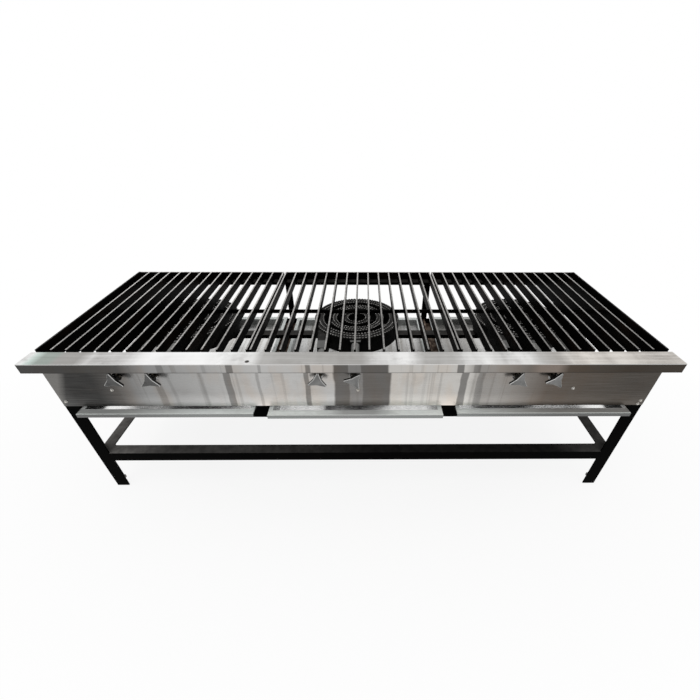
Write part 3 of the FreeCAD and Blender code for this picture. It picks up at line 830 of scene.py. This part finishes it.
def make_welds(paint):
    """Beads inside the corners of the stand, where each rail meets its legs."""
    form = bmesh.new()
    for kind in ("top_rail_", "stretcher_"):
        for end in ("front", "rear"):
            low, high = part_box(kind + end)
            y = low.y + ANGLE_T if end == "front" else high.y - ANGLE_T
            for x in (low.x, high.x):
                add_bead(form, Vector((x, y, low.z)), Vector((x, y, high.z - ANGLE_T)))
        for side in ("left", "right"):
            low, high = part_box(kind + side)
            x = low.x + ANGLE_T if side == "left" else high.x - ANGLE_T
            for y in (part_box("leg_front_" + side)[1].y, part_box("leg_rear_" + side)[0].y):
                add_bead(form, Vector((x, y, low.z)), Vector((x, y, high.z - ANGLE_T)))
    piece("weld_beads", form, paint)


def make_inlet_thread(paint):
    """The pipe thread cut on the open end of the gas pipe."""
    low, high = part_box("gas_manifold")
    centre = Vector((0.0, (low.y + high.y) / 2.0, (low.z + high.z) / 2.0))
    start = high.x - THREAD_LEN
    half = Vector((THREAD_HALF_ROOT * THREAD_PITCH, 0.0, 0.0))
    turns = int((THREAD_LEN - THREAD_RUN_OUT * THREAD_PITCH) / THREAD_PITCH)
    loops = []
    for step in range(turns * THREAD_STEPS + 1):
        turn = math.tau * step / THREAD_STEPS
        out = Vector((0.0, math.cos(turn), math.sin(turn)))
        x = start + THREAD_PITCH * (THREAD_LEAD_IN + step / THREAD_STEPS)
        root = centre + out * (THREAD_R - SINK) + Vector((x, 0.0, 0.0))
        crest = centre + out * (THREAD_R + THREAD_H) + Vector((x, 0.0, 0.0))
        loops.append((root - half, crest, root + half))
    form = bmesh.new()
    rod(form, loops)
    piece("inlet_thread", form, paint)


def make_floor():
    """A pale floor that shows as white and keeps a share of the shadow near the range."""
    mesh = bpy.data.meshes.new("floor")
    form = bmesh.new()
    bmesh.ops.create_grid(form, x_segments=FLOOR_CELLS, y_segments=FLOOR_CELLS, size=FLOOR_HALF)
    form.to_mesh(mesh)
    form.free()
    floor = bpy.data.objects.new("floor", mesh)
    floor.location.z = -FLOOR_GAP
    bpy.context.collection.objects.link(floor)
    shader = Shader("floor")
    shader.set(Base_Color=rgb(0.9, 0.9, 0.9), Roughness=0.9, Specular_IOR_Level=0.0)
    glow = shader.add("ShaderNodeEmission")
    rays = shader.add("ShaderNodeLightPath").outputs
    seen = rays["Is Camera Ray"]
    for kind in ("Is Glossy Ray", "Is Transmission Ray"):
        seen = shader.calculate("MAXIMUM", seen, rays[kind])
    distance = shader.add("ShaderNodeVectorMath", operation="LENGTH")
    shader.join(shader.scaled(FLOOR_SQUEEZE, 1.0, 1.0), distance.inputs[0])
    white = shader.span(distance.outputs["Value"], FLOOR_FADE_START, FLOOR_FADE_END,
                        1.0 - FLOOR_SHADOW_SHARE, 1.0)
    mixed = shader.add("ShaderNodeMixShader")
    shader.join(shader.product(seen, white), mixed.inputs["Fac"])
    shader.join(shader.surface.outputs["BSDF"], mixed.inputs[1])
    shader.join(glow.outputs["Emission"], mixed.inputs[2])
    shader.join(mixed.outputs["Shader"], shader.tree.nodes["Material Output"].inputs["Surface"])
    mesh.materials.append(shader.material)


def make_sky():
    """An even sky that lights the range plainly and shows as white."""
    world = bpy.data.worlds.new("studio")
    bpy.context.scene.world = world
    world.use_nodes = True
    tree = world.node_tree
    light = tree.nodes["Background"]
    light.inputs["Strength"].default_value = SKY_STRENGTH
    light.inputs["Color"].default_value = rgb(1.0, 1.0, 1.0)
    white = tree.nodes.new("ShaderNodeBackground")
    white.inputs["Color"].default_value = rgb(1.0, 1.0, 1.0)
    rays = tree.nodes.new("ShaderNodeLightPath").outputs
    seen = rays["Is Camera Ray"]
    for kind in ("Is Glossy Ray", "Is Transmission Ray"):
        either = tree.nodes.new("ShaderNodeMath")
        either.operation = "MAXIMUM"
        tree.links.new(seen, either.inputs[0])
        tree.links.new(rays[kind], either.inputs[1])
        seen = either.outputs["Value"]
    mixed = tree.nodes.new("ShaderNodeMixShader")
    tree.links.new(seen, mixed.inputs["Fac"])
    tree.links.new(light.outputs["Background"], mixed.inputs[1])
    tree.links.new(white.outputs["Background"], mixed.inputs[2])
    tree.links.new(mixed.outputs["Shader"], tree.nodes["World Output"].inputs["Surface"])


def make_lamp():
    """One large soft lamp above the front left."""
    lamp = bpy.data.lights.new("key", "AREA")
    lamp.energy = KEY_WATTS
    lamp.size = KEY_SIZE
    key = bpy.data.objects.new("key", lamp)
    key.location = KEY_PLACE
    key.rotation_mode = "QUATERNION"
    key.rotation_quaternion = (KEY_TARGET - KEY_PLACE).to_track_quat("-Z", "Y")
    bpy.context.collection.objects.link(key)


def make_camera():
    """The photograph's camera."""
    lens = bpy.data.cameras.new("camera")
    lens.sensor_width = CAMERA_SENSOR_MM
    lens.lens = CAMERA_LENS_MM
    lens.shift_x = CAMERA_SHIFT_X
    lens.shift_y = CAMERA_SHIFT_Y
    forward = Vector((math.sin(CAMERA_YAW_RIGHT) * math.cos(CAMERA_PITCH_DOWN),
                      math.cos(CAMERA_YAW_RIGHT) * math.cos(CAMERA_PITCH_DOWN),
                      -math.sin(CAMERA_PITCH_DOWN)))
    level = Vector((math.cos(CAMERA_YAW_RIGHT), -math.sin(CAMERA_YAW_RIGHT), 0.0))
    upright = level.cross(forward)
    right = level * math.cos(CAMERA_ROLL) + upright * math.sin(CAMERA_ROLL)
    up = upright * math.cos(CAMERA_ROLL) - level * math.sin(CAMERA_ROLL)
    turn = Matrix((right, up, -forward)).transposed()
    camera = bpy.data.objects.new("camera", lens)
    camera.matrix_world = Matrix.Translation(CAMERA_PLACE) @ turn.to_4x4()
    bpy.context.collection.objects.link(camera)
    bpy.context.scene.camera = camera


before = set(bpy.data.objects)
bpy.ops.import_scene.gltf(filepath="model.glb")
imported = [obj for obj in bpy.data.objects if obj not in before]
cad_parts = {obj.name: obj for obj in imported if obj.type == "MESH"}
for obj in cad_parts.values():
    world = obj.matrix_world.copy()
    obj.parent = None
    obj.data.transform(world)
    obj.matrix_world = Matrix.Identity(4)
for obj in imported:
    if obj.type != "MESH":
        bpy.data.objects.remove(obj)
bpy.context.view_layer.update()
black = black_paint("black_paint", rgb(0.085, 0.081, 0.077), ())
paint_nodes(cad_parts, black)
make_burner_crowns()
make_screws()
make_welds(black)
make_inlet_thread(black)
make_floor()
make_sky()
make_lamp()
make_camera()
bpy.context.scene.view_settings.view_transform = "Standard"
